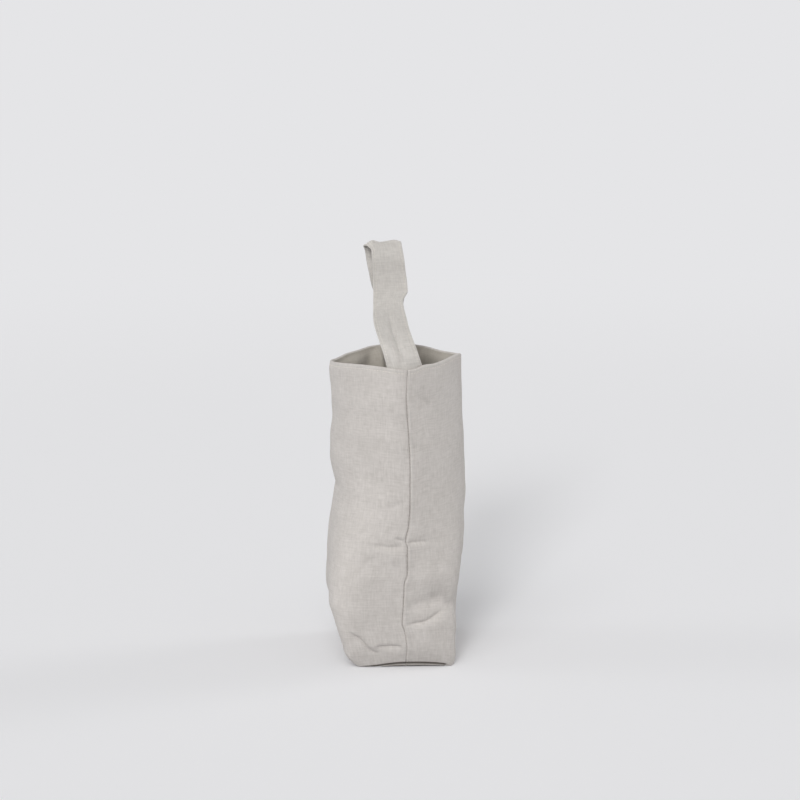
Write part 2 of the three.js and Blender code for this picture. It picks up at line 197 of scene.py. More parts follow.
# Creases: depth, width, lip, share that fades at each end, and a path of (across, height), where across is y
# on the narrow sides and x on the wide ones. A crease is a sharp valley with a soft swelling above it (lip
# over 0) or below it, and a gentle slope on the other side.
creaseSet = {
    "near": [
        (2.6, 1.2, -0.2, 0.3, [(-33, 124.5), (-18, 122.8), (-9.5, 122.8), (-3, 126.8)]),
        (1.9, 1.1, 0.25, 0.3, [(-13, 132), (-7, 131), (-1, 128.5)]),
        (2.2, 1.3, -0.25, 0.3, [(0, 128), (8, 128.2), (15, 128.6), (22, 127.8)]),
        (3.5, 1.4, -0.12, 0.3, [(-1, 45), (4, 45.2), (9.4, 45.6), (16.7, 46.8), (20.4, 48.6), (24, 50.9),
                                (32.6, 56.2), (39, 59.2)]),
        (3.8, 1.3, 0.12, 0.35, [(-57, 38), (-44, 29), (-37, 20.2), (-32.5, 16.2), (-25, 15)]),
        (2.8, 1.2, 0.12, 0.2, [(-30, 21.6), (-22, 21.6), (-14, 22), (-4, 21.8)]),
        (1.4, 2.2, 0.3, 0.3, [(-20, 161), (-10, 165), (0, 169)]),
        (1.2, 4.0, 0.3, 0.3, [(-50, 96), (-38, 108), (-27, 116)]),
        (0.9, 2.0, 0.3, 0.3, [(22, 266), (29, 272), (36, 277)]),
        (1.5, 4.0, 0.2, 0.3, [(6, 272), (16, 268), (24, 258)]),
        (1.0, 2.5, 0.3, 0.3, [(8, 236), (10, 224), (9, 214)]),
        (1.0, 5.0, 0.3, 0.3, [(-58, 205), (-44, 202), (-30, 198)]),
    ],
    "far": [
        (1.4, 2.4, -0.5, 0.3, [(30, 122), (14, 120), (0, 124)]),
        (2.1, 2.2, -0.3, 0.3, [(0, 50), (-14, 53), (-30, 63)]),
        (1.8, 1.9, 0.5, 0.3, [(44, 26), (34, 18), (26, 15)]),
        (1.0, 3.2, 0.4, 0.3, [(-40, 150), (-26, 156), (-6, 158)]),
        (0.8, 3.5, 0.4, 0.3, [(12, 216), (24, 224), (38, 226)]),
    ],
    "front": [
        (1.6, 4.0, 0.5, 0.3, [(-66, 20), (-46, 34), (-22, 42)]),
        (1.5, 4.5, 0.3, 0.3, [(64, 24), (48, 44), (40, 66)]),
        (3.6, 8.0, 0.3, 0.3, [(-50, 170), (-16, 174), (22, 171), (52, 178)]),
        (0.9, 6.0, 0.3, 0.3, [(10, 128), (34, 140), (56, 144)]),
        (0.9, 5.0, 0.3, 0.3, [(-62, 110), (-46, 98), (-28, 96)]),
    ],
    "back": [
        (1.6, 4.0, 0.5, 0.3, [(66, 22), (46, 40), (20, 48)]),
        (1.4, 4.5, 0.3, 0.3, [(-64, 26), (-52, 52), (-46, 78)]),
        (1.0, 7.0, 0.3, 0.3, [(-30, 152), (0, 146), (36, 150)]),
        (1.0, 5.0, 0.3, 0.3, [(58, 118), (44, 104), (30, 100)]),
        (0.8, 6.0, 0.3, 0.3, [(-52, 226), (-30, 214), (-8, 212)]),
    ],
}


# Soft swellings beside the pinched seams: across, height, half width, half height, how far out
bumpSet = {
    "near": [(-18, 150, 11, 7, 0.9), (-10, 112, 9, 7, 1.7), (-22, 94, 11, 7, 1.3), (10, 138, 8, 6, 0.8),
             (34, 46, 11, 5, 1.2), (24, 93, 17, 9, 2.2), (11, 65, 9, 6, -2.0), (28, 69, 13, 9, -5.4),
             (43, 62.5, 6, 5, -2.6), (-36, 24, 6, 4, 0.8)],
    "far": [(16, 110, 10, 6, 0.9), (-20, 136, 10, 7, 0.8), (-14, 44, 9, 5, 1.0)],
    "front": [], "back": [],
}


# Form of every crease: slope, lipAt and lipWide are counted in the crease's own widths
creaseForm = {"sharp": 0.6, "gentle": 0.4, "slope": 4, "lipAt": 4, "lipWide": 3, "endShare": 0.12}


def creaseShape(face, across, z):
    f = creaseForm
    total = np.zeros_like(z)
    for u, v, halfWide, halfHigh, height in bumpSet[face]:
        total += height * hump(np.hypot((across - u) / halfWide, (z - v) / halfHigh), 1)
    for depth, w, lip, fade, path in creaseSet[face]:
        path = np.array(path, float)
        legs = np.diff(path, axis=0)
        lengths = np.hypot(*legs.T)
        nearest = np.full_like(z, 1e9)
        signed = np.zeros_like(z)
        ahead = np.zeros_like(z)
        for start, leg, length, before in zip(path, legs, lengths, np.cumsum(lengths) - lengths):
            du, dv = across - start[0], z - start[1]
            t = np.clip((du * leg[0] + dv * leg[1]) / length ** 2, 0, 1)
            away = np.hypot(du - t * leg[0], dv - t * leg[1])
            closer = away < nearest
            above = np.sign(leg[0]) * (leg[0] * dv - leg[1] * du)
            nearest = np.where(closer, away, nearest)
            signed = np.where(closer, away * np.sign(above), signed)
            ahead = np.where(closer, before + t * length, ahead)
        whole = lengths.sum()
        ends = smooth(np.minimum(ahead, whole - ahead) / (fade * whole) + f["endShare"])
        toLip = signed * np.sign(lip)
        gentle = np.where(toLip > 0, np.exp(-toLip / w), np.exp(toLip / (f["slope"] * w)))
        swelling = abs(lip) * hump(toLip - f["lipAt"] * w, f["lipWide"] * w)
        shape = -f["sharp"] * np.exp(-nearest / w) - f["gentle"] * gentle + swelling
        total += depth * ends * shape
    return total


# Unevenness of the cloth: where narrow and wide sides begin and how softly, and waves (height, size, seed)
reliefSet = {
    "narrow": (30, 25), "wide": (22, 22), "lean": 1.3, "calm": 40, "calmLow": 0.35,
    "soft": [(1.1, 95, 11), (0.45, 38, 21)],
    "fine": (0.16, 15, 31), "fineStretch": 1.4, "fineLow": 0.4, "base": (0.25, 40, 51), "baseFrom": 0.2,
}


def wallRelief(p, side):  # creases and unevenness, outwards in millimetres
    s = reliefSet
    x, y, z = p[..., 0], p[..., 1], p[..., 2]
    narrow = smooth((np.abs(x) - s["narrow"][0]) / s["narrow"][1])
    wide = smooth((np.abs(y) - s["wide"][0]) / s["wide"][1])
    near = creaseShape("near", y, z) * np.where(x > 0, narrow, 0)
    far = creaseShape("far", y, z) * np.where(x < 0, narrow, 0)
    face = creaseShape("front" if side < 0 else "back", x, z) * wide
    around = x + side * s["lean"] * y
    calm = s["calmLow"] + (1 - s["calmLow"]) * smooth(z / s["calm"])
    calm = smooth((bagHeight - z) / s["calm"]) * calm
    soft = sum(height * ripple(around, z, size, seed + side) for height, size, seed in s["soft"])
    height, size, seed = s["fine"]
    fine = height * ripple(around, z, size, seed + side, s["fineStretch"])
    return near + far + face + soft * calm + fine * (s["fineLow"] + (1 - s["fineLow"]) * calm)


def stepped(stops):  # places from the first stop on, each stop with the step that leads to the next
    places = []
    for (start, step), (end, _) in zip(stops, stops[1:]):
        places += list(np.linspace(start, end, max(1, round((end - start) / step)) + 1)[:-1])
    return places


# Rows and columns of the panels as (start, step), finer at the foot, pinched middle, rim and seams
gridSet = {"foot": [0, 0.3, 0.65, 1.05, 1.5, 2, 2.6, 3.3, 4.1, 5], "edgeStep": 1.1,
           "rows": [(6, 1), (60, 1.8), (112, 1.2), (136, 2.2)], "columns": [(60, 2.4), (200, 2)]}


def heightsFor(top, dense, grain):
    high = [top - d for d in dense][::-1]
    stops = [(start, step * grain) for start, step in gridSet["rows"]] + [(high[0], 1)]
    return np.array(gridSet["foot"] + stepped(stops) + high)


def sharesFor(edge, grain):
    length = bagShape["girth"]
    stops = [(edge[-1], gridSet["edgeStep"])] + gridSet["columns"]
    stops = [(start, step * grain) for start, step in stops] + [(length - edge[-1], 1)]
    middle = stepped(stops)[1:]
    return np.concatenate([edge, middle, length - np.array(edge[::-1])]) / length


def quarterRound(distance, radius):  # how far a rounded edge falls back at this distance from it
    d = np.clip(radius - distance, 0, radius)
    return radius - np.sqrt(radius ** 2 - d ** 2)


def outwards(wall, side):  # directions out of a panel's wall
    out = np.cross(np.gradient(wall, axis=0), np.gradient(wall, axis=1)) * -side
    return out / np.linalg.norm(out, axis=-1, keepdims=True)


def calmAtSeam(seam):  # creases are shallower where a seam holds the cloth
    return smooth(seam / bagShape["seamReach"] + bagShape["seamHold"])


def seamOpening(side, seam, s):  # how far a panel stands off the middle of its seams
    return side * s["seamGap"] * hump(seam, bagShape["seamReach"])


def panelWall(side, heights, shares, insets):  # the wall of one panel and its outward directions
    wall = np.zeros((len(heights), len(shares), 3))
    fromNear = np.zeros((len(heights), len(shares)))
    fromFar = np.zeros_like(fromNear)
    _, baseY, _ = outline(0, side, 0, shares)
    depth = abs(bagShape["depth"][side][0][1])
    gusset = 1 - smooth((np.abs(baseY) - depth + bagShape["cornerFrom"]) / bagShape["cornerSoft"])
    radius = bagShape["foldRadius"] + (bagShape["gussetRadius"] - bagShape["foldRadius"]) * gusset
    lift = through(bagShape["baseLift"], baseY) * gusset
    rim = through(bagShape["rim"][side], shares)
    for i, h in enumerate(heights):
        x, y, length = outline(h, side, through(insets, h), shares)
        fromNear[i], fromFar[i] = shares * length, (1 - shares) * length
        reach = bagShape["wanderReach"]
        y = y + straight(bagShape["nearWander"], h) * hump(fromNear[i], reach)
        y = y + straight(bagShape["farWander"], h) * hump(fromFar[i], reach)
        cut = quarterRound(h, radius)
        stay = 1 - cut / np.maximum(np.hypot(x, y), 1)
        z = h + (rim - bagHeight) * smooth(h / bagShape["rimFade"])
        z = z + lift * np.clip(1 - h / bagShape["liftFade"], 0, 1) ** 2
        wall[i] = np.stack([x - np.sign(x) * np.minimum(cut, np.abs(x)) * gusset,
                            y * np.where(gusset < 0.5, stay, 1), z], -1)
    return wall, outwards(wall, side), np.minimum(fromNear, fromFar), gusset


def gridFaces(rows, cols, side, skip=None):
    faces = []
    for r in range(rows - 1):
        for c in range(cols - 1):
            if skip is not None and skip(r, c):
                continue
            a, b = r * cols + c, (r + 1) * cols + c
            faces.append((a, b, b + 1, a + 1) if side < 0 else (a, a + 1, b + 1, b))
    return faces


def addPiece(name, points, faces, material, uv=None):  # a new mesh piece, selected and active
    mesh = bpy.data.meshes.new(name)
    mesh.from_pydata(toFrame(points).tolist(), [], faces)
    if uv is not None:
        spots = np.zeros(len(mesh.loops), int)
        mesh.loops.foreach_get("vertex_index", spots)
        places = (uv.reshape(-1, 2)[spots] * mm).astype(np.float32)
        mesh.uv_layers.new(name="weave").data.foreach_set("uv", places.ravel())
    mesh.materials.append(material)
    piece = bpy.data.objects.new(name, mesh)
    scene.collection.objects.link(piece)
    bpy.ops.object.select_all(action="DESELECT")
    piece.select_set(True)
    bpy.context.view_layer.objects.active = piece
    return piece


def turnOutwards():  # the faces of the active piece
    bpy.ops.object.mode_set(mode="EDIT")
    bpy.ops.mesh.select_all(action="SELECT")
    bpy.ops.mesh.normals_make_consistent(inside=False)
    bpy.ops.object.mode_set(mode="OBJECT")
    bpy.ops.object.shade_smooth()


weldReach = 0.01 * mm
uvMargin = 4


def clothMesh(name, grid, uv, faces, thickness, material, paintedShade=None):  # the grid is the outer face
    piece = addPiece(name, grid.reshape(-1, 3), faces, material, uv)
    # each point keeps its share of painted shade for the material
    if paintedShade is not None:
        shares = piece.data.attributes.new("paintedShade", "FLOAT", "POINT")
        shares.data.foreach_set("value", paintedShade.astype(np.float32).ravel())
    bpy.ops.object.mode_set(mode="EDIT")
    bpy.ops.mesh.select_all(action="SELECT")
    bpy.ops.mesh.remove_doubles(threshold=weldReach)
    bpy.ops.mesh.select_all(action="SELECT")
    bpy.ops.mesh.delete_loose()
    bpy.ops.object.mode_set(mode="OBJECT")
    wall = piece.modifiers.new("cloth", "SOLIDIFY")
    wall.thickness = thickness * mm
    wall.offset = -1
    bpy.ops.object.modifier_apply(modifier="cloth")
    for v in piece.data.vertices:  # nothing goes through the floor
        v.co.z = max(v.co.z, 0)
    bpy.ops.object.shade_smooth()
    return piece


def runAlong(points):  # length so far at each point of a line
    return np.concatenate([[0], np.cumsum(np.linalg.norm(np.diff(points, axis=0), axis=-1))])


def weavePlaces(grid, around):  # UV of a panel: round the bag, and up from the base seam by its middle column
    up = runAlong(grid[:, grid.shape[1] // 2])
    return np.stack(np.broadcast_arrays(around[None, :], up[:, None]), -1) + uvMargin


def finishPanel(piece, node):
    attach(piece, "bag")
    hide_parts(node)


# Linen and thread
def rgb(r, g, b):
    shares = [v / 255 for v in (r, g, b)]
    return tuple(v / 12.92 if v <= 0.04 else ((v + 0.055) / 1.055) ** 2.4 for v in shares) + (1,)


linenSet = {
    "outer": {"pale": rgb(206, 201, 197), "dark": rgb(175, 170, 165), "pitch": 0.00068, "bump": 0.35,
              # painted shade colour: the dark brown laid where the shadow under the base edge falls
              "paintedShade": rgb(86, 79, 71)},
    # the lining's tones are darker than the outer linen's: painted shade for the dim inside of the bag
    "lining": {"pale": rgb(177, 171, 162), "dark": rgb(155, 149, 140), "pitch": 0.00060, "bump": 0.3},
    "strap": {"pale": rgb(206, 202, 197), "dark": rgb(175, 171, 166), "pitch": 0.00068, "bump": 0.35},
}
# What the tone of the linen is mixed from: how fine each noise is, and its share
linenMix = {
    "drift": (90, 90, 1), "driftThreads": 5, "slubWide": 0.5, "slubLong": 0.05, "slub": 0.75,
    "patchFine": (26, 26, 26), "patch": 0.45, "fleckFine": (420, 420, 300), "flecks": 0.4,
    "cloudFine": (150, 150, 210), "clouds": 0.4, "weave": 0.08, "level": 0.93, "rough": 0.86,
    "roughPatch": 0.12, "sheen": 0.12, "sheenRough": 0.6, "specular": 0.25, "bumpDepth": 0.00025,
    "bumpSlub": 0.8,
}
threadSet = {"pale": rgb(216, 211, 203), "dark": rgb(196, 190, 181), "ply": 2600, "rough": 0.75,
             "sheen": 0.2, "bump": 0.4, "bumpDepth": 0.0001}


def addNode(tree, kind, **settings):
    made = tree.nodes.new("ShaderNode" + kind)
    for key, value in settings.items():
        setattr(made, key, value)
    return made


def link(source, socket):
    socket.id_data.links.new(source, socket)


def setInputs(made, values):
    for key, value in values.items():
        made.inputs[key].default_value = value


def mathNode(tree, operation, a, b=None):
    made = addNode(tree, "Math", operation=operation)
    for socket, value in zip(made.inputs, (a, b)):
        if isinstance(value, (int, float)):
            socket.default_value = value
        elif value is not None:
            link(value, socket)
    return made.outputs[0]


def stretchedNoise(tree, vector, scale, detail):
    mapped = addNode(tree, "Mapping")
    setInputs(mapped, {"Scale": scale})
    link(vector, mapped.inputs["Vector"])
    noise = addNode(tree, "TexNoise")
    setInputs(noise, {"Scale": 1, "Detail": detail})
    link(mapped.outputs["Vector"], noise.inputs["Vector"])
    return noise.outputs[0]


def times(tree, a, b):
    return mathNode(tree, "MULTIPLY", a, b)


def plus(tree, a, b):
    return mathNode(tree, "ADD", a, b)


def newMaterial(name):
    material = bpy.data.materials.new(name)
    material.use_nodes = True
    return material, material.node_tree, material.node_tree.nodes["Principled BSDF"]


def twoTone(tree, share, look):  # from the dark tone to the pale one
    ramp = addNode(tree, "ValToRGB")
    ramp.color_ramp.elements[0].color = look["dark"]
    ramp.color_ramp.elements[1].color = look["pale"]
    link(share, ramp.inputs[0])
    return ramp.outputs[0]


def addBump(tree, shader, height, strength, depth):
    bump = addNode(tree, "Bump")
    setInputs(bump, {"Strength": strength, "Distance": depth})
    link(height, bump.inputs["Height"])
    link(bump.outputs[0], shader.inputs["Normal"])


def linenMaterial(name, look, mix):
    material, tree, shader = newMaterial(name)
    weaveUV = addNode(tree, "UVMap", uv_map="weave").outputs["UV"]
    perThread = 1 / look["pitch"]
    split = addNode(tree, "SeparateXYZ")
    link(weaveUV, split.inputs[0])
    drift = times(tree, stretchedNoise(tree, weaveUV, mix["drift"], 2), mix["driftThreads"])
    warp = plus(tree, times(tree, split.outputs[0], perThread), drift)
    weft = plus(tree, times(tree, split.outputs[1], perThread), drift)

    # Plain weave: warp and weft threads take turns on top
    cell = plus(tree, mathNode(tree, "FLOOR", warp), mathNode(tree, "FLOOR", weft))
    turns = addNode(tree, "Mix")
    link(mathNode(tree, "FLOORED_MODULO", cell, 2), turns.inputs[0])
    for thread, socket in ((warp, turns.inputs[2]), (weft, turns.inputs[3])):
        wave = mathNode(tree, "SINE", times(tree, thread, math.pi))
        link(mathNode(tree, "ABSOLUTE", wave), socket)
    weave = turns.outputs[0]

    # Slubs: each thread is thicker and thinner, paler and darker along its length
    wide, long = perThread * mix["slubWide"], perThread * mix["slubLong"]
    warpSlub = stretchedNoise(tree, weaveUV, (wide, long, 1), 2)
    weftSlub = stretchedNoise(tree, weaveUV, (long, wide, 1), 2)
    slub = plus(tree, warpSlub, weftSlub)
    place = addNode(tree, "TexCoord").outputs["Object"]
    patch = stretchedNoise(tree, place, mix["patchFine"], 3)
    flecks = stretchedNoise(tree, place, mix["fleckFine"], 3)
    clouds = stretchedNoise(tree, place, mix["cloudFine"], 2)
    tone = times(tree, slub, mix["slub"])
    for noise, key in ((patch, "patch"), (flecks, "flecks"), (clouds, "clouds"), (weave, "weave")):
        tone = plus(tree, tone, times(tree, noise, mix[key]))
    colour = twoTone(tree, mathNode(tree, "SUBTRACT", tone, mix["level"]), look)
    if "paintedShade" in look:  # painted shade: darkens the cloth along the base's groove and strip, where the shadow under the base edge falls
        paintedShadeMix = addNode(tree, "Mix", data_type="RGBA")
        link(addNode(tree, "Attribute", attribute_name="paintedShade").outputs["Fac"], paintedShadeMix.inputs[0])
        link(colour, paintedShadeMix.inputs[6])
        setInputs(paintedShadeMix, {7: look["paintedShade"]})
        colour = paintedShadeMix.outputs[2]
    link(colour, shader.inputs["Base Color"])
    rough = plus(tree, times(tree, patch, mix["roughPatch"]), mix["rough"])
    link(rough, shader.inputs["Roughness"])
    setInputs(shader, {"Sheen Weight": mix["sheen"], "Sheen Roughness": mix["sheenRough"],
                       "Specular IOR Level": mix["specular"]})
    relief = plus(tree, weave, times(tree, slub, mix["bumpSlub"]))
    addBump(tree, shader, relief, look["bump"], mix["bumpDepth"])
    return material


def threadMaterial(name, look):
    material, tree, shader = newMaterial(name)
    place = addNode(tree, "TexCoord").outputs["Object"]
    ply = stretchedNoise(tree, place, (look["ply"],) * 3, 1)
    link(twoTone(tree, ply, look), shader.inputs["Base Color"])
    setInputs(shader, {"Roughness": look["rough"], "Sheen Weight": look["sheen"]})
    addBump(tree, shader, ply, look["bump"], look["bumpDepth"])
    return material


outerLinen = linenMaterial("outerLinen", linenSet["outer"], linenMix)
liningLinen = linenMaterial("liningLinen", linenSet["lining"], linenMix)
strapLinen = linenMaterial("strapLinen", linenSet["strap"], linenMix)
sewingThread = threadMaterial("sewingThread", threadSet)
print("linen and thread mixed")

# Outer panels: the wall, the rolled rim with its facing, and half of the base. The corner groove and the
# strip of base cloth below it are (how far back, fall, painted shade); the strip's falls are shares of its
# height.
outerSet = {
    "grain": 1.0, "cloth": 0.9, "insets": [(0, 0), (300, 0)], "rimRadius": 1.4, "facing": [1, 2.5, 4.5],
    "seamRoll": 0.7, "allowance": 2.2, "allowanceUV": 2, "seamGap": 0.15,
    "sideRoll": [(0, 0.5), (32, 0.5), (41, 0.9), (50, 1), (60, 0.85), (68, 0.75), (100, 0.75), (115, 0.65),
                 (130, 0.65), (142, 0.85), (160, 0.9), (170, 0.75), (250, 0.7), (275, 0.45), (292, 0.3),
                 (300, 0.25)],
    "stitchDrop": 4, "stitchDip": 0.2, "dipWidth": 0.9, "calmFoot": 6,
    "ridge": {-1: (0.2, 2.6, 1.8), 1: (0.5, 2.4, 1.5)},
    "columns": [0, 0.3, 0.65, 1.05, 1.5, 2.1, 2.8, 3.7, 4.8, 6.2, 8],
    "belowRim": [0, 0.6, 1.2, 1.7, 2.1, 2.5, 2.9, 3.4, 4, 4.8, 5.8, 7, 8.6, 10.4],
    "cornerGroove": [(0.6, 0, 0.3), (3.4, 0.1, 0.85), (3.6, 1.6, 0.85), (2.2, 1.9, 0.7)], "grooveDrop": 1.9,
    "strip": [(0.2, 0.08, 0.5), (-0.6, 0.18, 0.35), (-0.5, 0.36, 0.35), (-0.1, 0.5, 0.6), (0.5, 0.7, 0.85),
              (1.2, 0.88, 0.9), (2.4, 0.97, 0.9), (5, 1, 0.9)],
    # painted shade shares for the foot of the wall and the base rows, darkest where the shadow under the base
    # edge falls
    "recess": 5, "foot": 0.3, "wallPaintedShade": [(0, 0.15), (1.5, 0)],
    "basePaintedShade": [(0, 0.9), (0.08, 0.5), (0.2, 0)],
    "baseRows": [0.02, 0.045, 0.08, 0.12, 0.18, 0.26, 0.36, 0.48, 0.6, 0.72, 0.83, 0.91, 0.955, 0.98,
                 0.992, 1],
    "flat": (0.26, 0.352), "area": 0.0865,
}


def apartShare(edge, gusset, raised=0.0):  # how far the wall's foot stands clear, from 0 to 1
    return gusset * smooth((edge[:, 2] - raised) / bagShape["apartAt"])


def baseHalf(edge, side, shares, gusset, s, raised=0.0):  # rows from the foot of the wall to the base seam
    gap = side * s["seamGap"]
    apart = apartShare(edge, gusset, raised)
    toMiddle = np.sign(edge[:, 0]) * apart
    groove = s["grooveDrop"] * apart
    tall = np.clip(edge[:, 2] - raised - groove - s["foot"], 0, None)
    bulge = smooth(tall / bagShape["bulgeAt"])
    recess = s["recess"]
    falls = [(back, down * apart) for back, down, _ in s["cornerGroove"]]
    falls += [(recess + (back - recess) * bulge, groove + share * tall) for back, share, _ in s["strip"]]
    rows = [np.stack([edge[:, 0] - toMiddle * back, edge[:, 1], np.maximum(raised, edge[:, 2] - fall)], -1)
            for back, fall in falls]
    start = edge[:, 0] - toMiddle * recess
    height, size, seed = reliefSet["base"]
    targetX = edge[0, 0] + (edge[-1, 0] - edge[0, 0]) * shares
    for t in s["baseRows"]:
        x = start + (targetX - start) * t
        y = edge[:, 1] + (gap - edge[:, 1]) * t
        inward = np.clip(np.abs(edge[0, 0]) - recess - np.abs(x), 0, None)
        lift = np.clip(through(bagShape["baseLift"], y) - groove, 0, s["foot"])
        lift = lift * np.clip(1 - inward / bagShape["liftReach"], 0, 1) ** bagShape["liftPower"]
        wave = np.clip(height + height * ripple(x, y, size, seed + side), 0, 1)
        wave = wave * smooth(t / reliefSet["baseFrom"])
        roll = quarterRound(np.abs(y - gap), s["seamRoll"])
        rows.append(np.stack([x, y, raised + lift + wave + roll], -1))
    return np.array(rows)[::-1]


def outerPanel(name, side, s):
    shares = sharesFor(s["columns"], s["grain"])
    heights = heightsFor(bagHeight - s["rimRadius"], s["belowRim"], s["grain"])
    wall, out, seam, gusset = panelWall(side, heights, shares, s["insets"])
    amount, at, width = s["ridge"][side]
    relief = wallRelief(wall, side) * calmAtSeam(seam) + amount * hump(seam - at, width)
    relief -= s["stitchDip"] * hump(bagHeight - heights[:, None] - s["stitchDrop"], s["dipWidth"])
    relief *= smooth(heights / s["calmFoot"])[:, None]
    wall = wall + out * relief[..., None]
    wall[..., 0] -= np.sign(wall[..., 0]) * quarterRound(seam, through(s["sideRoll"], heights)[:, None])
    wall[..., 1] += seamOpening(side, seam, s)

    inward = -out[-1] * np.array([1, 1, 0])
    inward /= np.linalg.norm(inward, axis=-1, keepdims=True)
    top = wall[-1]
    r = s["rimRadius"]
    turns = np.linspace(0, math.pi, 9)[1:]
    roll = [top + inward * r * (1 - math.cos(a)) + np.array([0, 0, r * math.sin(a)]) for a in turns]
    roll += [top + inward * 2 * r - np.array([0, 0, d]) for d in s["facing"]]
    base = baseHalf(wall[0], side, shares, gusset, s)
    grid = np.concatenate([base, wall, np.array(roll)])
    # painted shade: how far each row of groove, strip, base and wall foot is darkened towards the shade
    # colour
    foot = [paintedShade for _, _, paintedShade in s["cornerGroove"] + s["strip"]]
    foot += list(straight(s["basePaintedShade"], s["baseRows"]))
    paintedShades = np.concatenate([foot[::-1], straight(s["wallPaintedShade"], heights), np.zeros(len(roll))])
    paintedShade = np.pad(np.outer(paintedShades, apartShare(wall[0], gusset)), ((0, 0), (1, 1)), mode="edge")

    tuck = np.array([s["allowance"], 0, 0])
    grid = np.concatenate([grid[:, :1] - tuck, grid, grid[:, -1:] + tuck], axis=1)
    rows, cols = grid.shape[:2]
    firstWall, lastWall = len(base), len(base) + len(wall) - 1
    girth, edge = bagShape["girth"], s["allowanceUV"]
    uv = weavePlaces(grid, np.concatenate([[-edge], shares * girth, [girth + edge]]))
    faces = gridFaces(rows, cols, side, lambda r, c: c in (0, cols - 2) and not firstWall <= r < lastWall)
    panel = clothMesh(name, grid, uv, faces, s["cloth"], outerLinen, paintedShade)
    return panel, wall


frontPanel, frontWall = outerPanel("outerFrontPanel", -1, outerSet)
backPanel, backWall = outerPanel("outerBackPanel", 1, outerSet)
finishPanel(frontPanel, "outer_front_panel")
finishPanel(backPanel, "outer_back_panel")
print("outer panels sewn:", len(frontPanel.data.polygons), "faces each")

# Lining: follows the outer panels inside, slacker, with room for the strap ends behind the rim
liningSet = {
    "grain": 1.8, "cloth": 0.6, "topDrop": 1.3, "seamRoll": 0.8, "seamGap": 0.15,
    "insets": [(0, 2.2), (40, 2.6), (240, 4.3), (268, 4.6), (280, 5.8), (287, 6.6), (292, 5.8), (296, 3.6),
               (298.7, 2.85), (300, 2.85)],
    "pocket": 2.4, "pocketFloor": 272, "pocketFade": 35, "pocketAt": -1.5, "pocketHalf": 18.2,
    "pocketTaper": 2.5, "pocketSpread": 0.3, "slack": 1.6,
    "folds": [(-47, 8, 5), (-31, 4.5, -2.6), (-21.5, 3.6, 6), (-14.5, 2.2, -2.4), (13, 6, 7),
              (30, 7, -2.6), (54, 9, 5)],
    "columns": outerSet["columns"], "belowRim": [0, 0.5, 1, 1.6, 2.4, 3.4, 4.6, 6, 8, 10],
    "cornerGroove": [], "grooveDrop": 0, "recess": 0, "strip": [], "foot": 9,
    "baseRows": outerSet["baseRows"], "floor": 2.4, "floorFade": 40, "girthUV": 254, "foldsFrom": (200, 60),
    "foldsBelow": 11, "otherSide": 0.6, "slackWave": (46, 61, 2.2), "slackFrom": 30, "calmTop": 12,
    "flat": (0.255, 0.347), "area": 0.083,
}


def liningPanel(name, side, s):
    shares = sharesFor(s["columns"], s["grain"])
    heights = heightsFor(bagHeight - s["topDrop"], s["belowRim"], s["grain"])
    wall, out, seam, gusset = panelWall(side, heights, shares, s["insets"])
    relief = wallRelief(wall, side) * calmAtSeam(seam)
    x, y, z = wall[..., 0], wall[..., 1], wall[..., 2]
    size, seed, stretch = s["slackWave"]
    slack = np.clip(ripple(x + side * reliefSet["lean"] * y, z, size, seed + side, stretch) - 1, -2, 0)
    below = (bagHeight - s["topDrop"] - heights)[:, None]
    relief *= smooth(below / s["calmTop"])
    relief += s["slack"] * slack * smooth(below / s["slackFrom"]) * smooth(z / s["slackFrom"])
    taper = s["pocketTaper"] + s["pocketSpread"] * below
    behind = 1 - smooth((np.abs(y - s["pocketAt"]) - s["pocketHalf"]) / taper)
    relief -= s["pocket"] * behind * smooth((heights[:, None] - s["pocketFloor"]) / s["pocketFade"] + 1)
    start, soft = s["foldsFrom"]
    upper = smooth((z - start) / soft) * smooth(below / s["foldsBelow"]) * np.abs(out[..., 0])
    for at, width, height in s["folds"]:
        relief -= height * hump(np.where(x < 0, y - at, y + s["otherSide"] * at), width) * upper
    wall = wall + out * relief[..., None]
    wall[..., 2] += s["floor"] * np.clip(1 - heights[:, None] / s["floorFade"], 0, 1)
    wall[..., 0] += np.sign(x) * quarterRound(seam, s["seamRoll"])
    wall[..., 1] += seamOpening(side, seam, s)
    base = baseHalf(wall[0], side, shares, gusset, s, s["floor"])
    grid = np.concatenate([base, wall])
    uv = weavePlaces(grid, shares * s["girthUV"])
    panel = clothMesh(name, grid, uv, gridFaces(*grid.shape[:2], side), s["cloth"], liningLinen)
    return panel, wall


liningFront, liningFrontWall = liningPanel("liningFrontPanel", -1, liningSet)
liningBack, liningBackWall = liningPanel("liningBackPanel", 1, liningSet)
finishPanel(liningFront, "lining_front_panel")
finishPanel(liningBack, "lining_back_panel")
print("lining hung")

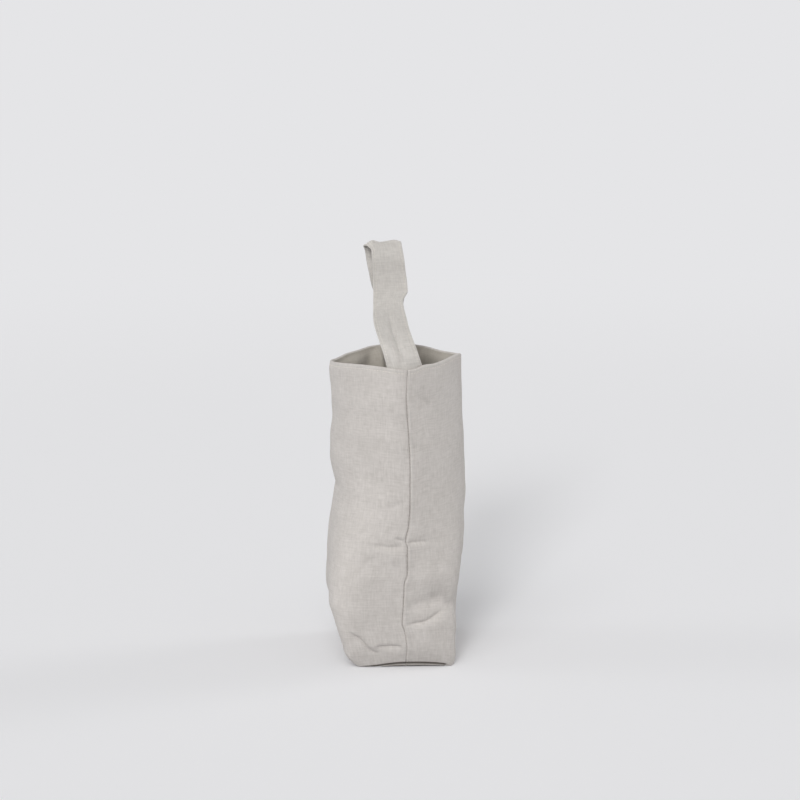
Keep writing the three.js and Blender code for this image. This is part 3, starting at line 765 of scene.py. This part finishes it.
# Strap: one folded band from rim to rim. Its path is (x, rise above the rim) of one leg, its edges are
# (rise, y), its kinks and pucker (height, rise, width).
strapSet = {
    "width": 37, "thick": 2.0, "tuck": 25, "inset": 4.1, "rim": 299, "top": 113, "flatten": 40, "step": 1.5,
    "across": 40, "flatWidth": 0.037, "rootY": -1.6, "rootRise": 8, "bend": (300, 345), "stitchAt": 15.4,
    "stitchDip": 0.22, "pillow": 0.12, "path": [(58, 37), (19.5, 64), (14, 82), (12.5, 99)],
    "nearLeft": [(-25, -19.3), (0, -19.2), (10, -21.8), (21, -25.3), (30, -28.3), (38.6, -30.5),
                 (56, -30.2), (69, -29.9), (86, -30.1), (100, -31), (108, -31.8)],
    "nearRight": [(-25, 16.2), (0, 15.6), (4, 14), (21.5, 7.8), (31.6, 4.1), (44, 1.6), (52, 0.2),
                  (56.2, -0.2), (59, 1.6), (63, 4.2), (70.4, 4.5), (85, 2.8), (99, 1.2), (108, -0.3)],
    "farLeft": [(-25, -19.3), (0, -18.9), (10, -21), (23, -24.6), (36, -26.2), (48, -27), (58, -28.2),
                (71, -31.3), (83, -33.4), (101, -37), (108, -38.8)],
    "farRight": [(-25, 16.2), (0, 16.2), (10, 12), (23, 8.5), (36, 5), (48, 3), (58, 3.8), (71, 2.5),
                 (83, 0), (101, -3), (108, -3.4)],
    "apexLeft": -36.6, "apexRight": -1.0, "crease": [(0, -1.8), (12, -0.6), (23, 0), (34, 0), (52, -1)],
    "slant": [(0, 0), (40, 0.02), (60, 0.16), (95, 0.4), (125, 0.45), (160, 0.42)], "kinkEdge": 0.1,
    "valley": 3.0, "valleyTop": 34, "valleyFade": 18, "valleyRise": 10, "valleyLow": 0.2, "valleyLevel": 0.3,
    "creaseWide": 3.4, "kinkOut": (2.2, 61, 6), "kinkIn": (0.8, 51, 4), "pucker": (0.45, 66, 9),
    "puckerPitch": 7.5, "puckerLean": 0.35, "puckerStart": 58,
    "uneven": [(0.35, 30, 71, 1.6), (0.12, 11, 72, 1.0)], "unevenFrom": 15, "curl": 0.06, "curlFrom": 8,
    "curlRise": (40, 20), "apexWide": 9, "apexCalm": 10, "slantFrom": 30, "uvStart": (5, 40),
    "apexRim": [(-18.5, -2.6), (-13, 0.9), (-3, -0.2), (4, 0.7), (13, 0.5), (18.5, -1.2)],
}


def strapLine(s):  # fine points along the band: its length so far, x and rise
    rootX = float(wallX(np.array(s["rootY"]), bagHeight, s["inset"]))
    leg = [(rootX, 0), (rootX, s["rootRise"])] + s["path"]
    points = np.array(leg + [(0, s["top"])] + [(-x, z) for x, z in leg[::-1]], float)
    chord = np.concatenate([[0], np.cumsum(np.hypot(*np.diff(points, axis=0).T))])
    fine = np.linspace(0, chord[-1], 4001)
    x = through(np.stack([chord, points[:, 0]], -1), fine)
    z = through(np.stack([chord, points[:, 1]], -1), fine)
    run = np.concatenate([[0], np.cumsum(np.hypot(np.diff(x), np.diff(z)))])
    return rootX, run, x, z


strapRootX, strapRun, strapX, strapZ = strapLine(strapSet)
strapFree = strapRun[-1]


def strapEdgeKeys(s, edge):  # one edge of the band, as (length along it, y)
    half = len(strapRun) // 2 + 1
    rises = np.concatenate([[-s["tuck"]], strapZ[:half]])
    runs = np.concatenate([[-s["tuck"]], strapRun[:half]])
    near = [(np.interp(r, rises, runs), y) for r, y in s["near" + edge]]
    far = [(strapFree - np.interp(r, rises, runs), y) for r, y in s["far" + edge]]
    return near + [(strapFree / 2, s["apex" + edge])] + far[::-1]


strapLeft, strapRight = strapEdgeKeys(strapSet, "Left"), strapEdgeKeys(strapSet, "Right")


# A point of the band: along from the near rim, across its width, out of its middle
def strapSpot(along, across, out):
    s = strapSet
    along, across, out = np.broadcast_arrays(np.asarray(along, float), across, out)
    side = np.where(along < strapFree / 2, 1.0, -1.0)
    fromRim = np.where(side > 0, along, strapFree - along)
    x = np.interp(along, strapRun, strapX)
    rise = np.interp(along, strapRun, strapZ)
    dx = np.interp(along + 0.5, strapRun, strapX) - np.interp(along - 0.5, strapRun, strapX)
    dz = np.interp(along + 0.5, strapRun, strapZ) - np.interp(along - 0.5, strapRun, strapZ)
    size = np.maximum(np.hypot(dx, dz), 1e-6)
    tx, tz = dx / size, dz / size
    w = across / (s["width"] / 2)
    left, right = through(strapLeft, along), through(strapRight, along)
    y = left + (right - left) * (w + 1) / 2

    # Creased lengthwise above the near rim, buckled at the kink, uneven along the top
    near = np.where(side > 0, 1.0, 0.0)
    valley = s["valley"] * smooth(rise / s["valleyRise"] + s["valleyLow"])
    valley = valley * (1 - smooth((rise - s["valleyTop"]) / s["valleyFade"]))
    inFold = np.exp(-np.abs(across - through(s["crease"], rise)) / s["creaseWide"])
    fold = near * valley * (s["valleyLevel"] - inFold)
    rounds = [height * hump(rise - at, width)
              for height, at, width in (s["kinkOut"], s["kinkIn"], s["pucker"])]
    waves = np.cos((rise - s["puckerLean"] * across - s["puckerStart"]) * 2 * math.pi / s["puckerPitch"])
    kink = near * smooth((w + s["kinkEdge"]) / (1 + s["kinkEdge"]))
    kink = kink * (rounds[0] - rounds[1] + rounds[2] * waves)
    soft = sum(height * ripple(across, along, size, seed, stretch)
               for height, size, seed, stretch in s["uneven"])
    out = out + fold + kink + soft * smooth(fromRim / s["unevenFrom"])
    start, fade = s["curlRise"]
    curl = (1 - near) * s["curl"] * np.clip(-s["curlFrom"] - across, 0, None) ** 2
    curl = curl * smooth((rise - start) / fade)
    fromApex = along - strapFree / 2
    out = out + curl * (1 - hump(fromApex, s["apexCalm"]))
    slant = through(s["slant"], fromRim) * (1 - smooth((s["slantFrom"] - fromRim) / s["slantFrom"]))
    dish = wallX(y, bagHeight + np.minimum(fromRim, 0), s["inset"]) - strapRootX
    dish = dish * (1 - smooth(fromRim / s["flatten"]))
    deep = fromRim < 0
    baseX = np.where(deep, side * strapRootX, x)
    nx = np.where(deep, side, tz)
    nz = np.where(deep, 0.0, -tx)
    top = through(s["apexRim"], across) * hump(fromApex, s["apexWide"])
    rise = np.where(deep, fromRim, rise)
    x = baseX + nx * out + side * dish - slant * across
    return np.stack([x, y, s["rim"] + rise + nz * out + top], -1)


def strapPiece(name, s):
    half, skin = s["width"] / 2, s["thick"] / 2
    flat = np.linspace(-half + skin, half - skin, s["across"])
    dip = s["stitchDip"] * hump(np.abs(flat) - s["stitchAt"], 1.0)
    pillow = s["pillow"] * (1 - (flat / half) ** 2) - dip
    bend = np.linspace(math.pi / 2, -math.pi / 2, 7)[1:-1]
    loop = [(a, skin + p) for a, p in zip(flat, pillow)]
    loop += [(half - skin + skin * math.cos(b), skin * math.sin(b)) for b in bend]
    loop += [(a, -skin - p) for a, p in zip(flat[::-1], pillow[::-1])]
    loop += [(-half + skin - skin * math.cos(b), -skin * math.sin(b)) for b in bend]
    loop = np.array(loop)
    alongs = np.linspace(-s["tuck"], strapFree + s["tuck"], int((strapFree + 2 * s["tuck"]) / s["step"]))
    grid = strapSpot(alongs[:, None], loop[None, :, 0], loop[None, :, 1])
    rows, cols = grid.shape[:2]
    faces = []
    for r in range(rows - 1):
        for c in range(cols):
            n = (c + 1) % cols
            faces.append((r * cols + c, r * cols + n, (r + 1) * cols + n, (r + 1) * cols + c))
    faces.append(tuple(range(cols))[::-1])
    faces.append(tuple((rows - 1) * cols + c for c in range(cols)))
    acrossUV, alongUV = s["uvStart"]
    uv = np.stack(np.broadcast_arrays(runAlong(loop)[None, :] + acrossUV, alongs[:, None] + alongUV), -1)
    piece = addPiece(name, grid.reshape(-1, 3), faces, strapLinen, uv)
    turnOutwards()
    return piece


bendStart, bendEnd = (toFrame((0, 0, z)) for z in strapSet["bend"])
strap = strapPiece("strapBand", strapSet)
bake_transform(strap)
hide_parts("handle_strap", "handle_root_right", "handle_root_left")
print("strap folded, free length", round(strapFree, 1), "mm")

# Stitches: one stitch is modelled, then laid along each seam
stitchSet = {
    "length": 2.5, "pitch": 3.2, "radius": 0.26, "sink": 0.22, "feel": 0.6, "rimOut": 0.12, "rimEnds": 6,
    "sideRows": (6, -8), "sideDepth": 0.5, "liningRows": (6, -6), "liningDepth": -0.1, "cornerHalf": 34,
    "base": (1.0, 68), "liningBase": (3.6, 64), "corner": (1.5, 0.3), "liningCorner": (4.6, 3.0),
    "edgeOut": 0.85, "edgeFrom": 2, "tackAt": 12, "tackHalf": 16, "tackOut": 1.05,
}


def modelStitch(s):
    bpy.ops.object.select_all(action="DESELECT")
    bpy.ops.mesh.primitive_uv_sphere_add(segments=8, ring_count=6, radius=s["radius"])
    stitch = bpy.context.object
    stretch = s["length"] / 2 - s["radius"]
    bpy.ops.object.mode_set(mode="EDIT")
    for sign in (1, -1):
        bpy.ops.mesh.select_all(action="DESELECT")
        bpy.ops.object.mode_set(mode="OBJECT")
        for v in stitch.data.vertices:
            v.select = v.co.z * sign > 0.01
        bpy.ops.object.mode_set(mode="EDIT")
        bpy.ops.transform.translate(value=(0, 0, sign * stretch))
    bpy.ops.object.mode_set(mode="OBJECT")
    return stitch


def pointAt(at, run, points):
    return np.array([np.interp(at, run, points[:, k]) for k in range(3)])


def layStitches(name, lines, s):  # each line is a list of points with an outward direction for each
    shape = np.array([v.co[:] for v in stitchModel.data.vertices])
    rings = [tuple(p.vertices) for p in stitchModel.data.polygons]
    ends = np.abs(shape[:, 2:3]) / (s["length"] / 2)
    verts, faces = [], []
    for points, outs in lines:
        run = runAlong(points)
        count = max(1, int(run[-1] / s["pitch"]))
        for at in (np.arange(count) + 0.5) * run[-1] / count:
            along = pointAt(at + s["feel"], run, points) - pointAt(at - s["feel"], run, points)
            along /= np.linalg.norm(along)
            up = pointAt(at, run, outs)
            up -= along * (up @ along)
            up /= np.linalg.norm(up)
            turned = shape @ np.stack([np.cross(up, along), up, along])
            turned -= up * s["sink"] * ends ** 2
            faces += [tuple(i + len(verts) for i in ring) for ring in rings]
            verts += list(pointAt(at, run, points) + turned)
    piece = addPiece(name, np.array(verts), faces, sewingThread)
    turnOutwards()
    return piece


def sewOn(name, node, lines):
    piece = layStitches(name, lines, stitchSet)
    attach(piece, "bag")
    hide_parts(node)


stitchModel = modelStitch(stitchSet)


def rimLine(wall, side, s):
    heights = heightsFor(bagHeight - outerSet["rimRadius"], outerSet["belowRim"], outerSet["grain"])
    row = np.argmin(np.abs(heights - bagHeight + outerSet["stitchDrop"]))
    between = slice(s["rimEnds"], -s["rimEnds"])
    out = outwards(wall, side)[row, between]
    return wall[row, between] + out * s["rimOut"], out


def seamLine(frontEdge, backEdge, depth):  # down the groove between two panels
    middle = (frontEdge + backEdge) / 2
    out = np.stack([np.sign(middle[:, 0]), np.zeros(len(middle)), np.zeros(len(middle))], -1)
    return middle - out * depth, out


def baseLine(z, half):
    x = np.linspace(-half, half, 60)
    return np.stack([x, 0 * x, 0 * x + z], -1), np.tile([0, 0, -1.0], (60, 1))


def cornerLine(side, half, inset, raised):
    y = np.linspace(-half, half, 40)
    x = np.full(40, side * (sideReach(0) - inset))
    z = raised + through(bagShape["baseLift"], y)
    return np.stack([x, y, z], -1), np.tile([side, 0, 0.0], (40, 1))


def strapEdge(across, face, s):
    alongs = np.linspace(s["edgeFrom"], strapFree - s["edgeFrom"], 240)
    line = strapSpot(alongs, across, face * s["edgeOut"])
    return line, strapSpot(alongs, across, face * (s["edgeOut"] + 1)) - line


def tackLine(along, s):
    acrosses = np.linspace(-s["tackHalf"], s["tackHalf"], 30)
    out = strapSpot(along, acrosses, 2) - strapSpot(along, acrosses, 1)
    return strapSpot(along, acrosses, s["tackOut"]), out


def sewAll(s):
    sewOn("rimTopstitch", "rim_topstitch", [rimLine(frontWall, -1, s), rimLine(backWall, 1, s)])
    outerRows, liningRows = slice(*s["sideRows"]), slice(*s["liningRows"])
    for hand, column in (("right", 0), ("left", -1)):
        outer = seamLine(frontWall[outerRows, column], backWall[outerRows, column], s["sideDepth"])
        sewOn("sideSeamStitch." + hand, "side_seam_thread_" + hand, [outer])
        inner = seamLine(liningFrontWall[liningRows, column], liningBackWall[liningRows, column],
                         s["liningDepth"])
        sewOn("liningSideSeamStitch." + hand, "lining_side_seam_thread_" + hand, [inner])
    sewOn("baseSeamStitch", "base_seam_thread", [baseLine(*s["base"])])
    sewOn("liningBaseSeamStitch", "lining_base_seam_thread", [baseLine(*s["liningBase"])])
    for hand, side in (("right", 1), ("left", -1)):
        outer = cornerLine(side, s["cornerHalf"], *s["corner"])
        sewOn("cornerSeamStitch." + hand, "corner_seam_thread_" + hand, [outer])
        inner = cornerLine(side, s["cornerHalf"], *s["liningCorner"])
        sewOn("liningCornerSeamStitch." + hand, "lining_corner_seam_thread_" + hand, [inner])
    for edge, across in (("front", -strapSet["stitchAt"]), ("back", strapSet["stitchAt"])):
        lines = [strapEdge(across, face, s) for face in (1, -1)]
        piece = layStitches("strapEdgeStitch." + edge, lines, s)
        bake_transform(piece)
        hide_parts("handle_edge_stitch_" + edge)
    for hand, along in (("right", -s["tackAt"]), ("left", strapFree + s["tackAt"])):
        sewOn("strapTack." + hand, "handle_tack_" + hand, [tackLine(along, s)])


sewAll(stitchSet)
bpy.data.objects.remove(stitchModel)
print("seams stitched")

# Studio: a pale floor that runs into the background, soft lamps and an even surround
studioSet = {
    "floorSize": 30, "floor": rgb(241, 241, 243), "background": rgb(229, 229, 231),
    "bounce": rgb(190, 190, 192), "surround": rgb(255, 255, 255), "surroundLevel": 0.44,
    "fadeFrom": 1.2, "fadeTo": 4.0,
    "lamps": {  # turn from the camera's side towards the front, rise, softness in degrees, strength
        "key": (20, 50, 36, 0.68), "low": (13, 20, 13, 1.62),
        "front": (95, 5, 25, 0.9), "back": (-110, 4, 25, 1.6),
    },
}


def seenDirectly(tree):  # 1 for rays from the camera, by way of reflections too
    path = addNode(tree, "LightPath")
    direct = mathNode(tree, "MAXIMUM", path.outputs["Is Camera Ray"], path.outputs["Is Glossy Ray"])
    return mathNode(tree, "MAXIMUM", direct, path.outputs["Is Transmission Ray"])


def mixShaders(tree, share, first, second, target):
    mixed = addNode(tree, "MixShader")
    for source, socket in zip((share, first, second), mixed.inputs):
        link(source, socket)
    link(mixed.outputs[0], target)


def floorMaterial(s):
    material, tree, shader = newMaterial("paleFloor")
    setInputs(shader, {"Roughness": 1, "Specular IOR Level": 0})
    away = addNode(tree, "VectorMath", operation="LENGTH")
    link(addNode(tree, "TexCoord").outputs["Object"], away.inputs[0])
    far = addNode(tree, "MapRange", interpolation_type="SMOOTHSTEP")
    setInputs(far, {"From Min": s["fadeFrom"], "From Max": s["fadeTo"]})
    link(away.outputs["Value"], far.inputs["Value"])
    direct = seenDirectly(tree)
    colour = addNode(tree, "Mix", data_type="RGBA")
    setInputs(colour, {6: s["bounce"], 7: s["floor"]})
    link(direct, colour.inputs[0])
    link(colour.outputs[2], shader.inputs["Base Color"])
    glow = addNode(tree, "Emission")
    setInputs(glow, {"Color": s["background"]})
    surface = tree.nodes["Material Output"].inputs["Surface"]
    mixShaders(tree, times(tree, far.outputs[0], direct), shader.outputs[0], glow.outputs[0], surface)
    return material


def buildStudio(s):
    bpy.ops.object.select_all(action="DESELECT")
    bpy.ops.mesh.primitive_plane_add(size=s["floorSize"], location=(0, 0, 0))
    floor = bpy.context.object
    floor.name = "studioFloor"
    floor.data.materials.append(floorMaterial(s))

    for name, (turn, rise, softness, strength) in s["lamps"].items():
        bpy.ops.object.select_all(action="DESELECT")
        bpy.ops.object.light_add(type="SUN", rotation=[math.radians(v) for v in (90 - rise, 0, 90 - turn)])
        lamp = bpy.context.object
        lamp.name = name + "Light"
        lamp.data.angle = math.radians(softness)
        lamp.data.energy = strength

    world = bpy.data.worlds.new("surround")
    scene.world = world
    world.use_nodes = True
    tree = world.node_tree
    light = tree.nodes["Background"]
    setInputs(light, {"Color": s["surround"], "Strength": s["surroundLevel"]})
    shown = addNode(tree, "Background")
    setInputs(shown, {"Color": s["background"], "Strength": 1})
    surface = tree.nodes["World Output"].inputs["Surface"]
    mixShaders(tree, seenDirectly(tree), light.outputs[0], shown.outputs[0], surface)
    scene.view_settings.view_transform = "Standard"


buildStudio(studioSet)
print("studio lit")
